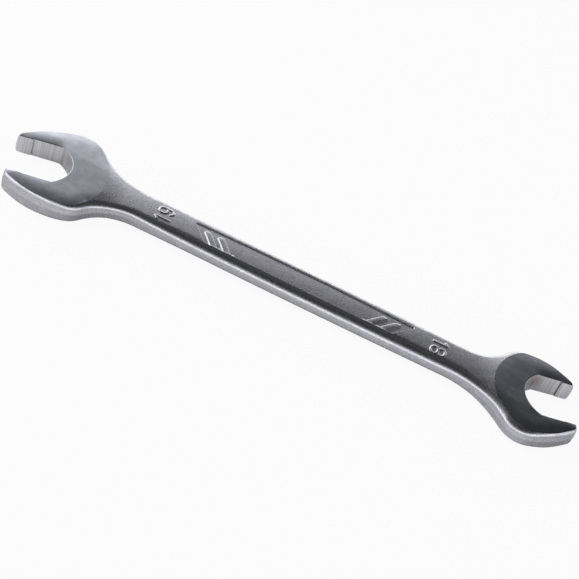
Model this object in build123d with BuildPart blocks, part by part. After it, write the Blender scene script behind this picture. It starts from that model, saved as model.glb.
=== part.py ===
from build123d import *
from math import sqrt
import os

os.makedirs("parts", exist_ok=True)

# Double open end wrench, forged in one piece. Millimetres, +Z up.
# X runs along the shank from the large head to the small head, +Y is the far side.
# The wrench lies on its ground faces at Z = 0, and X = 0 is the middle of its length.

# Openings: a nut's width across flats, and how each jaw is cut for it
large_nut = 19.0
small_nut = 18.0
nut_clearance = 0.1
opening_angle = 15.0
face_relief = 0.28
corner_groove_depth = 0.22
corner_groove_width = 0.45
large_throat_radius = 12.0
small_throat_radius = 10.7

# Thicknesses
head_thickness = 7.7
shank_thickness = 6.7
grinding_stock = 0.3
draft_angle = 3.0
edge_radius = 2.1

# Shank, with sides that swell a little towards the middle
shank_width = 14.0
shank_side_radius = 3600.0
shank_middle_x = 3.3

# Where each head's opening crosses the shank's axis
large_head_x = -81.7
small_head_x = 88.3

# Reaches run along an opening from that point, positive towards its mouth
large_throat_reach = 0.5
large_step_reach = 15.8
large_tip_reach = 21.3
large_ground_back = 12.1
large_ground_radius = 25.6
small_throat_reach = -4.0
small_step_reach = 9.7
small_tip_reach = 14.2
small_ground_back = 14.6
small_ground_radius = 20.2
tip_radius = 2.6
slope_length = 20.0

# Outline of the large head, a far and a near side that aren't quite alike
large_head_width = 39.6
large_far_neck_radius = 27.0
large_far_crown_reach = 0.0
large_far_crown_radius = 9.8
large_far_flank_radius = 44.5
large_far_flank_start = 9.8
large_near_neck_radius = 17.7
large_near_crown_reach = -0.8
large_near_crown_radius = 9.0
large_near_flank_radius = 32.0
large_near_flank_start = -2.0

# Outline of the small head
small_head_width = 37.7
small_far_neck_radius = 13.0
small_far_crown_reach = -3.9
small_far_crown_radius = 8.0
small_far_flank_radius = 30.0
small_far_flank_start = 8.0
small_near_neck_radius = 29.5
small_near_crown_reach = -3.0
small_near_crown_radius = 9.5
small_near_flank_radius = 36.0
small_near_flank_start = 11.0

# Sunk panel on both faces of the shank, with a bowed far edge and slanted ribs in each end
panel_width = 8.3
panel_bow = 0.8
panel_depth = 0.45
panel_far_length = 82.0
panel_near_length = 69.0
rib_count = 2
rib_width = 2.2
rib_gap = 2.7
rib_far_gap = 1.9

# A cut runs this far past the metal that it goes through
overrun = 2.0

parting_height = head_thickness / 2
shank_top = shank_thickness / 2
stock_top = head_thickness / 2 + grinding_stock
panel_lean = (panel_far_length - panel_near_length) / 2
large_head = (large_head_x, 180 + opening_angle)
small_head = (small_head_x, opening_angle)


def in_head(head, along, across):
    """Point of a head, from its distances along and across its opening."""
    head_x, turn = head
    return Vector(head_x, 0) + Vector(along, across).rotate(Axis.Z, turn)


def circle_meeting(centre, reach, other_centre, other_reach, side):
    """The point at the given distances from two centres, on one side of the line between them."""
    apart = (other_centre - centre).length
    direction = (other_centre - centre).normalized()
    foot = (reach ** 2 - other_reach ** 2 + apart ** 2) / (2 * apart)
    height = sqrt(reach ** 2 - foot ** 2)
    return centre + direction * foot + direction.rotate(Axis.Z, side * 90) * height


def towards(centre, point, radius):
    """Point of a circle on the line from its centre to another point."""
    return centre + (point - centre).normalized() * radius


def draw_arc(centre, radius, start, end):
    """Arc of under a half circle about a centre."""
    ThreePointArc(start, towards(centre, (start + end) / 2, radius), end)


def head_side(head, side, width, tip_reach, crown, flank, neck_radius):
    """Neck, crown, flank and nose of one side of a head, as arcs that meet smoothly.

    The side is -1 or 1 across the opening. Each arc is its centre, radius, start and end, and
    they run from the shank to the tip of the jaw.
    """
    crown_reach, crown_radius = crown
    flank_radius, flank_start = flank
    lean = Vector(0, side).rotate(Axis.Z, -side * flank_start)
    crown_local = Vector(crown_reach, side * (width / 2 - crown_radius))
    flank_local = crown_local - lean * (flank_radius - crown_radius)
    nose_along = tip_reach - tip_radius
    nose_rise = sqrt((flank_radius - tip_radius) ** 2 - (nose_along - flank_local.X) ** 2)
    nose_across = flank_local.Y + side * nose_rise

    crown_centre = in_head(head, crown_local.X, crown_local.Y)
    flank_centre = in_head(head, flank_local.X, flank_local.Y)
    nose_centre = in_head(head, nose_along, nose_across)
    shank_side = 1 if crown_centre.Y > 0 else -1
    shank_centre = Vector(shank_middle_x, shank_side * (shank_width / 2 - shank_side_radius))
    inner_side = shank_side if crown_centre.X < shank_middle_x else -shank_side
    neck_centre = circle_meeting(crown_centre, crown_radius + neck_radius, shank_centre,
                                 shank_side_radius + neck_radius, inner_side)

    on_shank = towards(shank_centre, neck_centre, shank_side_radius)
    neck_end = towards(crown_centre, neck_centre, crown_radius)
    flank_begin = towards(flank_centre, crown_centre, flank_radius)
    nose_begin = towards(flank_centre, nose_centre, flank_radius)
    tip_end = in_head(head, tip_reach, nose_across)
    return [
        (neck_centre, neck_radius, on_shank, neck_end),
        (crown_centre, crown_radius, neck_end, flank_begin),
        (flank_centre, flank_radius, flank_begin, nose_begin),
        (nose_centre, tip_radius, nose_begin, tip_end),
    ]


large_far_side = head_side(
    large_head, -1, large_head_width, large_tip_reach,
    crown=(large_far_crown_reach, large_far_crown_radius),
    flank=(large_far_flank_radius, large_far_flank_start), neck_radius=large_far_neck_radius)
large_near_side = head_side(
    large_head, 1, large_head_width, large_tip_reach,
    crown=(large_near_crown_reach, large_near_crown_radius),
    flank=(large_near_flank_radius, large_near_flank_start), neck_radius=large_near_neck_radius)
small_far_side = head_side(
    small_head, 1, small_head_width, small_tip_reach,
    crown=(small_far_crown_reach, small_far_crown_radius),
    flank=(small_far_flank_radius, small_far_flank_start), neck_radius=small_far_neck_radius)
small_near_side = head_side(
    small_head, -1, small_head_width, small_tip_reach,
    crown=(small_near_crown_reach, small_near_crown_radius),
    flank=(small_near_flank_radius, small_near_flank_start), neck_radius=small_near_neck_radius)


def draw_outline():
    """Closed plan outline of the forging, with its mouths still bridged by metal."""
    for side in (large_far_side, large_near_side, small_far_side, small_near_side):
        for centre, radius, start, end in side:
            draw_arc(centre, radius, start, end)
    for one_side, other_side in ((large_far_side, large_near_side), (small_far_side, small_near_side)):
        Line(one_side[-1][-1], other_side[-1][-1])
    for large_side, small_side, y in ((large_far_side, small_far_side, shank_width / 2),
                                      (large_near_side, small_near_side, -shank_width / 2)):
        ThreePointArc(large_side[0][2], (shank_middle_x, y), small_side[0][2])


def cut_slope(head, ground_radius, ground_back):
    """Takes the forging down from a head to the shank, by a dish round a point of the opening."""
    centre = in_head(head, ground_radius - ground_back, 0)
    outward = Vector(1, 0).rotate(Axis.Z, head[1])
    aside = Vector(0, -1).rotate(Axis.Z, head[1])
    drop = stock_top - shank_top
    ground_share = sqrt(grinding_stock / (2 * drop))
    start = ground_radius - slope_length * ground_share
    end = start + slope_length
    middle = ((start + end) / 2, parting_height + (stock_top + shank_top) / 2)
    far = abs(shank_middle_x - centre.X) + overrun
    high = parting_height + stock_top
    low = parting_height + shank_top
    with BuildSketch(Plane(centre, x_dir=outward, z_dir=aside)) as profile:
        with BuildLine():
            Polyline((start, high), (0, high), (0, high + overrun), (far, high + overrun),
                     (far, low), (end, low))
            TangentArc((start, high), middle, tangent=(1, 0))
            TangentArc((end, low), middle, tangent=(-1, 0))
        make_face()
    revolve(profile.sketch, axis=Axis(centre, (0, 0, 1)), mode=Mode.SUBTRACT)


def draw_panel():
    """Panel field, whose ends lean inwards from the bowed far edge to the straight near edge."""
    far_half, near_half = panel_far_length / 2, panel_near_length / 2
    far_y, near_y = panel_width / 2 - panel_bow, -panel_width / 2
    with BuildLine() as edge:
        far_edge = ThreePointArc((shank_middle_x - far_half, far_y), (shank_middle_x, panel_width / 2),
                                 (shank_middle_x + far_half, far_y))
        Polyline(far_edge @ 1, (shank_middle_x + near_half, near_y),
                 (shank_middle_x - near_half, near_y), far_edge @ 0)
    make_face(edge.edges())


def leave_rib(side, end):
    """Rib left standing beside one end of the panel, leaning as that end does."""
    length = panel_width - rib_far_gap
    lean = panel_lean * length / panel_width
    near_end, near_start = (shank_middle_x + side * x for x in (end, end - rib_width))
    Polygon((near_start, -panel_width / 2), (near_end, -panel_width / 2),
            (near_end + side * lean, -panel_width / 2 + length),
            (near_start + side * lean, -panel_width / 2 + length), align=None, mode=Mode.SUBTRACT)


def opening(head, nut, throat_reach, throat_radius, step_reach, tip_reach):
    """Opening of one head: a land at each tip, a groove, a relieved face and a round throat."""
    land = (nut + nut_clearance) / 2
    face = land + face_relief
    groove = face + corner_groove_depth
    groove_back = step_reach - corner_groove_width
    face_back = throat_reach + throat_radius - sqrt(throat_radius ** 2 - face ** 2)
    corners = [(tip_reach + overrun, land), (step_reach, land), (step_reach, groove),
               (groove_back, groove), (groove_back, face), (face_back, face)]
    one_jaw = [in_head(head, along, across) for along, across in corners]
    other_jaw = [in_head(head, along, -across) for along, across in corners]
    with BuildLine() as edge:
        Polyline(*one_jaw)
        ThreePointArc(one_jaw[-1], in_head(head, throat_reach, 0), other_jaw[-1])
        Polyline(*other_jaw)
        Line(one_jaw[0], other_jaw[0])
    make_face(edge.edges())


with BuildPart() as wrench_forging:
    # Upper half of the forging, drafted from the parting plane up
    with BuildSketch(Plane.XY.offset(parting_height)):
        with BuildLine():
            draw_outline()
        make_face()
    extrude(amount=stock_top + overrun, taper=draft_angle)
    cut_slope(large_head, large_ground_radius, large_ground_back)
    cut_slope(small_head, small_ground_radius, small_ground_back)

    # Rounded edges all round, then the tops of the heads ground flat
    walls = wrench_forging.faces().filter_by(lambda face: abs(face.normal_at().Z) < 0.5)
    rim = walls.edges().filter_by(lambda edge: edge.center().Z > parting_height + shank_top / 2)
    rim = rim.filter_by(lambda edge: abs(edge.tangent_at(0.5).Z) < 0.5)
    fillet(rim, edge_radius)
    forging = wrench_forging.part.bounding_box()
    with BuildSketch(Plane.XY.offset(head_thickness)):
        with Locations((forging.center().X, forging.center().Y)):
            Rectangle(forging.size.X + overrun, forging.size.Y + overrun)
    extrude(amount=grinding_stock + overrun, mode=Mode.SUBTRACT)

    # Sunk panel, with its ribs left standing from the near edge almost to the far one
    with BuildSketch(Plane.XY.offset(parting_height + shank_top)):
        draw_panel()
        for index in range(rib_count):
            rib_end = panel_near_length / 2 - rib_gap - index * (rib_width + rib_gap)
            for side in (-1, 1):
                leave_rib(side, rib_end)
    extrude(amount=-panel_depth, mode=Mode.SUBTRACT)

    # Lower half, then the openings right through
    mirror(about=Plane.XY.offset(parting_height))
    with BuildSketch(Plane.XY.offset(-overrun)):
        opening(large_head, large_nut, large_throat_reach, large_throat_radius,
                large_step_reach, large_tip_reach)
        opening(small_head, small_nut, small_throat_reach, small_throat_radius,
                small_step_reach, small_tip_reach)
    extrude(amount=head_thickness + 2 * overrun, mode=Mode.SUBTRACT)

wrench_forging.part.label = "wrench_forging"
export_step(wrench_forging.part, "parts/wrench_forging.step")
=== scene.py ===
"""Looks of the double open end wrench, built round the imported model.

The wrench is one forging, so one finely modelled piece stands for it. Places in its plan are
complex numbers in millimetres, real along the shank and imaginary towards the far side. Heights
are in millimetres above the parting plane, which halves its thickness.
"""

import cmath
import logging
import math
from dataclasses import dataclass, field
from enum import Enum

import bmesh
import bpy
import numpy as np
from mathutils import Euler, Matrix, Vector
from mathutils.geometry import delaunay_2d_cdt


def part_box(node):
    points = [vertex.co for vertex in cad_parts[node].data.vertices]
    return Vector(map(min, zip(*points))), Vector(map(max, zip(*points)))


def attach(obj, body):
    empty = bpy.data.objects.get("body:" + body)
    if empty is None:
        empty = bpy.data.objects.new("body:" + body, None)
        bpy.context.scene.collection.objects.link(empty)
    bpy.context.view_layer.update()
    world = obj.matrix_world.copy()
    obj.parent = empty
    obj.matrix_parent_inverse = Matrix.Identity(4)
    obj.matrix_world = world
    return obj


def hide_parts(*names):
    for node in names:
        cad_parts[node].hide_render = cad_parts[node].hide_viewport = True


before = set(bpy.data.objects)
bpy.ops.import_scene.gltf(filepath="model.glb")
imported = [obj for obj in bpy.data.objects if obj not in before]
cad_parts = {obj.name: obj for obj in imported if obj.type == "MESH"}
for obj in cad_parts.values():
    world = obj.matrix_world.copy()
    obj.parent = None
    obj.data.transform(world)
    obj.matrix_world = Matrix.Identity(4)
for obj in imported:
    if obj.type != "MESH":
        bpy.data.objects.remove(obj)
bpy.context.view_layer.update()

log = logging.getLogger("wrench")

MM = 0.001
BODY = "root"
NODE = "wrench_forging"
RIGHT_ANGLE = 90.0
# How often a value that depends on itself is worked out again until it has settled.
SETTLING_ROUNDS = 4


class Face(Enum):
    """One of the two broad faces, as the sign of its height above the parting plane."""

    UPPER = 1
    LOWER = -1


class Finish(Enum):
    """Surface finishes, numbered as the piece's material slots are."""

    FORGED = 0
    GROUND = 1
    BROACHED = 2


def smooth(low: float, high: float, value: np.ndarray) -> np.ndarray:
    """Eases from 0 at one value to 1 at another.

    Args:
        low: Where the rise starts.
        high: Where it ends.
        value: Where to work it out.

    Returns:
        Values from 0 to 1, level at both ends.
    """
    share = np.clip((value - low) / (high - low), 0.0, 1.0)
    return share * share * (3 - 2 * share)


def meeting(centre: complex, reach: float, other: complex, other_reach: float, side: int) -> complex:
    """The point at the given distances from two centres.

    Args:
        centre: The first centre.
        reach: The distance from it.
        other: The second centre.
        other_reach: The distance from that.
        side: 1 for the point on the left of the way from the first to the second, or -1.

    Returns:
        The point.
    """
    apart = abs(other - centre)
    foot = (reach ** 2 - other_reach ** 2 + apart ** 2) / (2 * apart)
    height = math.sqrt(reach ** 2 - foot ** 2)
    return centre + (other - centre) / apart * complex(foot, side * height)


def towards(centre: complex, point: complex, radius: float) -> complex:
    """Point of a circle on the line from its centre to another point."""
    return centre + (point - centre) / abs(point - centre) * radius


def line_distance(points: np.ndarray, line: np.ndarray) -> np.ndarray:
    """Distance from an open line of points.

    Args:
        points: Where to measure.
        line: The line.

    Returns:
        The distances.
    """
    nearest = np.full(points.shape, np.inf)
    for start, end in zip(line[:-1], line[1:]):
        way = end - start
        local = (points - start) / way
        nearest = np.minimum(nearest, np.abs(local - np.clip(local.real, 0, 1)) * abs(way))
    return nearest


@dataclass(frozen=True)
class Arc:
    """Circular arc of under a half circle."""

    centre: complex
    start: complex
    end: complex

    @property
    def radius(self) -> float:
        """Its radius."""
        return abs(self.start - self.centre)

    @property
    def sweep(self) -> float:
        """The angle that it turns through, in radians, positive to the left."""
        return cmath.phase((self.end - self.centre) / (self.start - self.centre))

    @property
    def length(self) -> float:
        """Its length."""
        return self.radius * abs(self.sweep)

    def reverse(self) -> "Arc":
        """The same arc from its other end."""
        return Arc(self.centre, self.end, self.start)

    def at(self, share: np.ndarray) -> tuple[np.ndarray, np.ndarray]:
        """Points on the arc and the unit directions along it, at shares of its length."""
        spoke = (self.start - self.centre) * np.exp(1j * self.sweep * share)
        return self.centre + spoke, spoke / self.radius * 1j * math.copysign(1, self.sweep)

    def distance(self, points: np.ndarray) -> np.ndarray:
        """Distance of points from the arc.

        Args:
            points: Where to measure.

        Returns:
            The distances.
        """
        turned = np.angle((points - self.centre) / (self.start - self.centre)) * math.copysign(1, self.sweep)
        beside = (turned >= 0) & (turned <= abs(self.sweep))
        ends = np.minimum(np.abs(points - self.start), np.abs(points - self.end))
        return np.where(beside, np.abs(np.abs(points - self.centre) - self.radius), ends)


@dataclass(frozen=True)
class Straight:
    """Straight stretch of an outline."""

    start: complex
    end: complex

    @property
    def length(self) -> float:
        """Its length."""
        return abs(self.end - self.start)

    def at(self, share: np.ndarray) -> tuple[np.ndarray, np.ndarray]:
        """Points on the stretch and the unit directions along it, at shares of its length."""
        way = self.end - self.start
        return self.start + way * share, np.full(np.shape(share), way / abs(way))

    def distance(self, points: np.ndarray) -> np.ndarray:
        """Distance of points from the stretch."""
        return line_distance(points, np.array([self.start, self.end]))


@dataclass(frozen=True)
class Outline:
    """Closed outline of the forging, turning to the left, with its mouths bridged."""

    pieces: tuple[Arc | Straight, ...]
    step: float = 0.55
    long_step: float = 1.2
    long_radius: float = 100.0
    bend_share: float = 0.09

    def places(self) -> np.ndarray:
        """Distances along the outline for the mesh's columns, closer together where it bends.

        Returns:
            The distances.
        """
        places, start = [], 0.0
        for piece in self.pieces:
            step = self.step
            if isinstance(piece, Arc):
                tight = piece.radius < self.long_radius
                step = min(step, piece.radius * self.bend_share) if tight else self.long_step
            count = math.ceil(piece.length / step)
            places += [start + piece.length * k / count for k in range(count)]
            start += piece.length
        return np.array(places)

    def at(self, places: np.ndarray) -> tuple[np.ndarray, np.ndarray]:
        """Points of the outline and its inward directions there.

        Args:
            places: Distances along the outline.

        Returns:
            The points and the unit directions.
        """
        points, inward = np.empty(len(places), complex), np.empty(len(places), complex)
        start = 0.0
        for piece in self.pieces:
            here = (places >= start) & (places <= start + piece.length)
            point, way = piece.at((places[here] - start) / piece.length)
            points[here], inward[here] = point, way * 1j
            start += piece.length
        return points, inward

    def distance(self, points: np.ndarray) -> np.ndarray:
        """Distance of points from the outline."""
        return np.min([piece.distance(points) for piece in self.pieces], axis=0)


@dataclass(frozen=True)
class Shank:
    """The bar between the heads, with slightly swelling sides."""

    width: float = 14.0
    side_radius: float = 3600.0
    middle_x: float = 3.3
    thickness: float = 6.7

    def side_centre(self, side: int) -> complex:
        """Centre of the long arc of one side, which is 1 for far and -1 for near."""
        return complex(self.middle_x, side * (self.width / 2 - self.side_radius))


@dataclass(frozen=True)
class Rolling:
    """How polishing has rolled a face down beside an edge: its slope there and how far it reaches."""

    slope: float
    reach: float

    def drop(self, distance: np.ndarray) -> np.ndarray:
        """How far the face lies below level, at a distance from the edge."""
        return self.slope * self.reach / 2 * np.clip(1 - distance / self.reach, 0, 1) ** 2


@dataclass(frozen=True)
class JawSide:
    """Outline of one side of a head, from the shank to the tip of its jaw."""

    neck_radius: float
    crown_reach: float
    crown_radius: float
    flank_radius: float
    flank_start: float
    inner_roll: Rolling
    outer_roll: Rolling


@dataclass(frozen=True)
class Opening:
    """A broached opening: a land at each tip, a groove, a relieved face and a round throat."""

    nut: float
    throat_reach: float
    throat_radius: float
    step_reach: float
    clearance: float = 0.1
    relief: float = 0.28
    groove_depth: float = 0.22
    groove_width: float = 0.45
    step_blend: float = 0.9
    mouth_overrun: float = 4.0
    throat_bends: int = 44

    @property
    def land(self) -> float:
        """Half the distance between the two lands."""
        return (self.nut + self.clearance) / 2

    @property
    def throat_centre(self) -> float:
        """How far along the opening the centre of its throat lies."""
        return self.throat_reach + self.throat_radius

    @property
    def back(self) -> float:
        """How far along the opening its straight faces start."""
        return self.throat_centre - math.sqrt(self.throat_radius ** 2 - (self.land + self.relief) ** 2)

    def half_width(self, along: np.ndarray) -> np.ndarray:
        """Half the distance between the jaws at places along the opening, without the grooves."""
        step = smooth(self.step_reach - self.step_blend, self.step_reach + self.step_blend, along)
        return self.land + self.relief * (1 - step)

    def distance(self, local: np.ndarray) -> np.ndarray:
        """Distance into the metal, negative inside the opening.

        Args:
            local: Places from the head's origin, real along the opening.

        Returns:
            The distances.
        """
        beside = np.abs(local.imag) - self.half_width(local.real)
        behind = np.abs(local - self.throat_centre) - self.throat_radius
        return np.where(local.real > self.back, beside, behind)

    def throat(self, offset: float) -> list[complex]:
        """Points round the throat at a distance into the metal, from the left jaw to the right.

        Args:
            offset: The distance.

        Returns:
            The points.
        """
        radius = self.throat_radius + offset
        swing = math.asin((self.land + self.relief + offset) / radius)
        turns = [swing * (1 - 2 * k / self.throat_bends) for k in range(1, self.throat_bends)]
        return [self.throat_centre - radius * cmath.exp(-1j * turn) for turn in turns]

    def profile(self, mouth: float) -> list[complex]:
        """Closed plan of the cut, out to a point beyond its mouth.

        Args:
            mouth: How far along the opening that point lies.

        Returns:
            Its points, in the head.
        """
        face = self.land + self.relief
        groove = face + self.groove_depth
        groove_back = self.step_reach - self.groove_width
        jaw = [complex(mouth, self.land), complex(self.step_reach, self.land),
               complex(self.step_reach, groove), complex(groove_back, groove),
               complex(groove_back, face), complex(self.back, face)]
        return jaw + self.throat(0.0) + [corner.conjugate() for corner in reversed(jaw)]

    def line(self, offset: float, mouth: float, step: float) -> list[complex]:
        """Open line beside the opening's edge, at a distance into the metal.

        Args:
            offset: The distance.
            mouth: How far along the opening it starts and ends.
            step: The spacing of its points.

        Returns:
            Its points.
        """
        along = np.linspace(mouth, self.back, math.ceil((mouth - self.back) / step))
        jaw = [complex(a, half + offset) for a, half in zip(along, self.half_width(along))]
        return jaw + self.throat(offset) + [point.conjugate() for point in reversed(jaw)]


@dataclass(frozen=True)
class Facet:
    """Part of a head's face that was ground a little off level, to the left of a soft line."""

    start: complex
    way: complex
    slope: float
    softness: float

    def drop(self, points: np.ndarray) -> np.ndarray:
        """How far it lies below the level face."""
        beyond = ((points - self.start) / self.way).imag / self.softness
        return self.slope * self.softness * np.logaddexp(0, beyond)


@dataclass(frozen=True)
class Head:
    """One head of the wrench: its place, its outline, its ground face and its opening."""

    x: float
    turn: float
    width: float
    tip_reach: float
    tip_radius: float
    ground_back: float
    ground_radius: float
    left: JawSide
    right: JawSide
    opening: Opening
    facet: Facet
    roll_run_in: float = 3.0
    roll_blend: float = 7.0

    @property
    def heading(self) -> complex:
        """Unit direction out of the opening's mouth."""
        return cmath.exp(1j * math.radians(self.turn))

    @property
    def dish_centre(self) -> complex:
        """The point that the slope down to the shank runs round."""
        return self.place(complex(self.ground_radius - self.ground_back, 0))

    @property
    def mouth(self) -> float:
        """How far along the opening its cut runs."""
        return self.tip_reach + self.opening.mouth_overrun

    def place(self, local: complex | np.ndarray) -> complex | np.ndarray:
        """Plan points of places in the head, whose real part runs along the opening."""
        return self.x + local * self.heading

    def local(self, points: np.ndarray) -> np.ndarray:
        """Places in the head of plan points."""
        return (points - self.x) / self.heading

    def grooves(self) -> list[complex]:
        """Plan points in the middles of the grooves behind its two lands.

        Returns:
            The two points.
        """
        along = self.opening.step_reach - self.opening.groove_width / 2
        across = self.opening.land + self.opening.relief + self.opening.groove_depth / 2
        return [self.place(complex(along, side * across)) for side in (-1, 1)]

    def inner_drop(self, points: np.ndarray) -> np.ndarray:
        """How far the faces of both jaws are rolled down beside the opening.

        Args:
            points: Places in the plan.

        Returns:
            The drops.
        """
        local = self.local(points)
        distance = self.opening.distance(local)
        left, right = (jaw.inner_roll.drop(distance) for jaw in (self.left, self.right))
        back = self.opening.back
        share = smooth(back - self.roll_run_in, back + self.roll_run_in, local.real)
        return np.where(local.imag > 0, left, right) * share

    def outer_drop(self, points: np.ndarray, distance: np.ndarray) -> np.ndarray:
        """How far its face is rolled down beside the outline.

        Args:
            points: Places in the plan.
            distance: Their distances from the outline.

        Returns:
            The drops.
        """
        share = smooth(-self.roll_blend, self.roll_blend, self.local(points).imag)
        left, right = (jaw.outer_roll.drop(distance) for jaw in (self.left, self.right))
        return right * (1 - share) + left * share

    def side_arcs(self, side: int, shank: Shank) -> list[Arc]:
        """Neck, crown, flank and nose of one jaw, from the shank to the tip.

        Args:
            side: 1 for the jaw on the left as one looks out of the mouth, or -1 for the other.
            shank: The shank that the neck runs into.

        Returns:
            Four arcs that meet smoothly.
        """
        jaw = self.left if side > 0 else self.right
        lean = cmath.exp(1j * math.radians(side * (RIGHT_ANGLE - jaw.flank_start)))
        crown_local = complex(jaw.crown_reach, side * (self.width / 2 - jaw.crown_radius))
        flank_local = crown_local - lean * (jaw.flank_radius - jaw.crown_radius)
        nose_along = self.tip_reach - self.tip_radius
        rise = math.sqrt((jaw.flank_radius - self.tip_radius) ** 2 - (nose_along - flank_local.real) ** 2)
        nose_across = flank_local.imag + side * rise
        crown, flank = self.place(crown_local), self.place(flank_local)
        nose = self.place(complex(nose_along, nose_across))
        shank_side = 1 if crown.imag > 0 else -1
        shank_centre = shank.side_centre(shank_side)
        neck = meeting(crown, jaw.crown_radius + jaw.neck_radius, shank_centre,
                       shank.side_radius + jaw.neck_radius,
                       shank_side if crown.real < shank.middle_x else -shank_side)
        on_shank = towards(shank_centre, neck, shank.side_radius)
        neck_end = towards(crown, neck, jaw.crown_radius)
        flank_start = towards(flank, crown, jaw.flank_radius)
        nose_start = towards(flank, nose, jaw.flank_radius)
        return [Arc(neck, on_shank, neck_end), Arc(crown, neck_end, flank_start),
                Arc(flank, flank_start, nose_start),
                Arc(nose, nose_start, self.place(complex(self.tip_reach, nose_across)))]


FAR_ROLLS = {
    "inner_roll": Rolling(slope=0.10, reach=5.5),
    "outer_roll": Rolling(slope=0.065, reach=7.5),
}
NEAR_ROLLS = {
    "inner_roll": Rolling(slope=0.045, reach=3.0),
    "outer_roll": Rolling(slope=0.11, reach=6.5),
}
LARGE_HEAD = Head(
    x=-81.7, turn=195.0, width=39.6, tip_reach=21.3, tip_radius=2.6,
    ground_back=12.1, ground_radius=25.6,
    left=JawSide(neck_radius=17.7, crown_reach=-0.8, crown_radius=9.0, flank_radius=32.0,
                 flank_start=-2.0, **NEAR_ROLLS),
    right=JawSide(neck_radius=27.0, crown_reach=0.0, crown_radius=9.8, flank_radius=44.5,
                  flank_start=9.8, **FAR_ROLLS),
    opening=Opening(nut=19.0, throat_reach=0.5, throat_radius=12.0, step_reach=15.8),
    facet=Facet(start=-85.4 + 6.9j, way=1 + 0j, slope=0.022, softness=0.35),
)
SMALL_HEAD = Head(
    x=88.3, turn=15.0, width=37.7, tip_reach=14.2, tip_radius=2.6,
    ground_back=14.6, ground_radius=20.4,
    left=JawSide(neck_radius=13.0, crown_reach=-3.9, crown_radius=8.0, flank_radius=30.0,
                 flank_start=8.0, **FAR_ROLLS),
    right=JawSide(neck_radius=29.5, crown_reach=-3.0, crown_radius=9.5, flank_radius=36.0,
                  flank_start=11.0, **NEAR_ROLLS),
    opening=Opening(nut=18.0, throat_reach=-4.0, throat_radius=10.7, step_reach=9.7),
    facet=Facet(start=84 - 8j, way=-1 + 0j, slope=0.02, softness=0.4),
)


@dataclass
class RoundedPatch:
    """Four-sided patch with rounded corners, whose distance and offset loops are exact.

    Its corners are given before they are rounded, turning to the left.
    """

    corners: list[complex]
    corner_radius: float
    bend_share: float = 0.25

    def __post_init__(self) -> None:
        """Works out the sharp patch whose offset is the rounded one."""
        corners = self.corners
        self.ways = [(b - a) / abs(b - a) for a, b in zip(corners, corners[1:] + corners[:1])]
        self.core = []
        for corner, before, after in zip(corners, self.ways[-1:] + self.ways[:-1], self.ways):
            turn = cmath.phase(after / before)
            outward = -1j * before * cmath.exp(1j * turn / 2)
            self.core.append(corner - outward * self.corner_radius / math.cos(turn / 2))

    def distance(self, points: np.ndarray) -> np.ndarray:
        """Distance of points from the rounded edge, negative inside.

        Args:
            points: Where to measure.

        Returns:
            The distances.
        """
        inside = np.full(points.shape, -np.inf)
        outside = np.full(points.shape, np.inf)
        for start, end, way in zip(self.core, self.core[1:] + self.core[:1], self.ways):
            local = (points - start) / way
            inside = np.maximum(inside, -local.imag)
            outside = np.minimum(outside, np.abs(local - np.clip(local.real, 0, abs(end - start))))
        return np.where(inside > 0, outside, inside) - self.corner_radius

    def loop(self, offset: float, step: float) -> list[complex]:
        """Closed loop at a distance from the rounded edge.

        Args:
            offset: The distance, negative inwards, from minus the corner radius up.
            step: The spacing of points on the straight stretches.

        Returns:
            Its points.
        """
        radius = self.corner_radius + offset
        points = []
        for index, (start, end) in enumerate(zip(self.core, self.core[1:] + self.core[:1])):
            outward = -1j * self.ways[index]
            count = max(2, math.ceil(abs(end - start) / step))
            points += [start + (end - start) * k / count + outward * radius for k in range(count + 1)]
            turn = cmath.phase(self.ways[(index + 1) % len(self.ways)] / self.ways[index])
            bends = max(2, math.ceil(turn * radius / (step * self.bend_share)))
            points += [end + outward * radius * cmath.exp(1j * turn * k / bends) for k in range(1, bends)]
        return points


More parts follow.
